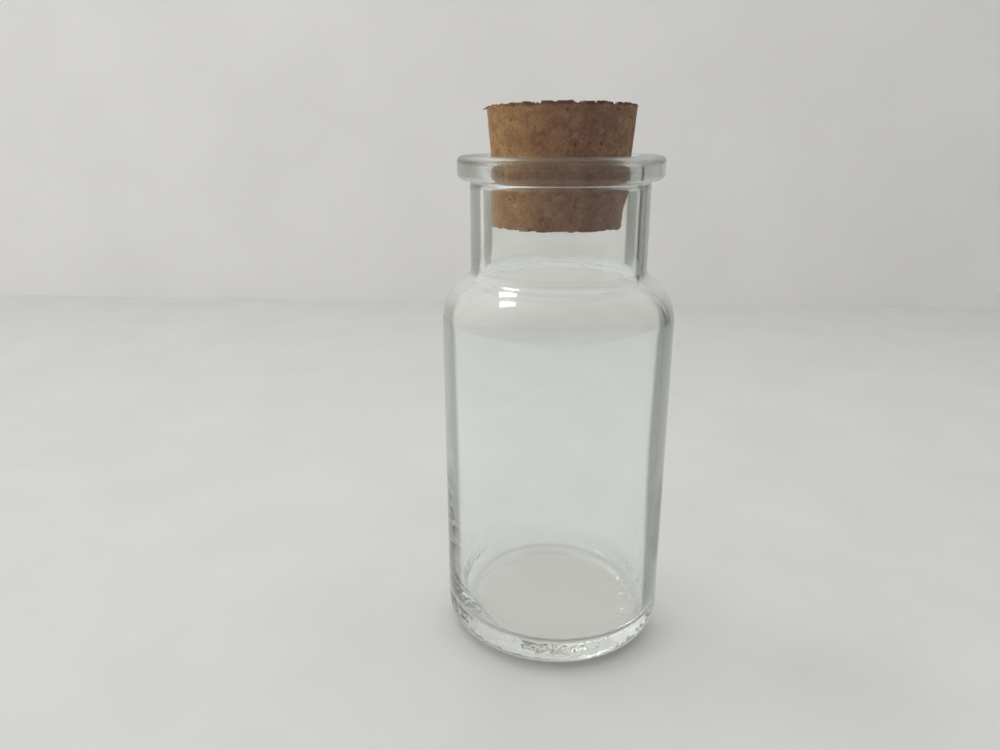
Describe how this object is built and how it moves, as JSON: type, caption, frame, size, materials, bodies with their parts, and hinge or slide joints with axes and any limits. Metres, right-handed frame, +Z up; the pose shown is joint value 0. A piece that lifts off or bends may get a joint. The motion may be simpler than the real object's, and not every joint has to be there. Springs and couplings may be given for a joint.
{
  "type": "corked glass bottle",
  "caption": "Small round bottle of clear moulded glass with a sloped shoulder, short neck, flanged lip and a tapered cork stopper that lifts out, for spices and dry goods.",
  "frame": {"origin": "middle of the base on the surface that the bottle stands on", "axes": "+Z up the axis of the bottle and its neck, which is also the way the cork lifts out; X and Y are alike round the axis"},
  "size_m": [0.05, 0.05, 0.1168],
  "materials": {
    "clear_glass": "clear soda-lime glass, fire-polished lip, slightly wavy moulded walls",
    "agglomerated_cork": "matte agglomerated cork, granules with dark specks, crumbled edges"
  },
  "bodies": {
    "bottle": {"glass_bottle": "clear_glass"},
    "stopper": {"cork_stopper": "agglomerated_cork"}
  },
  "joints": [
    {"name": "cork_lift", "type": "slide", "parent": "bottle", "child": "stopper", "axis": [0, 0, 1], "range_m": [0, 0.04]}
  ]
}
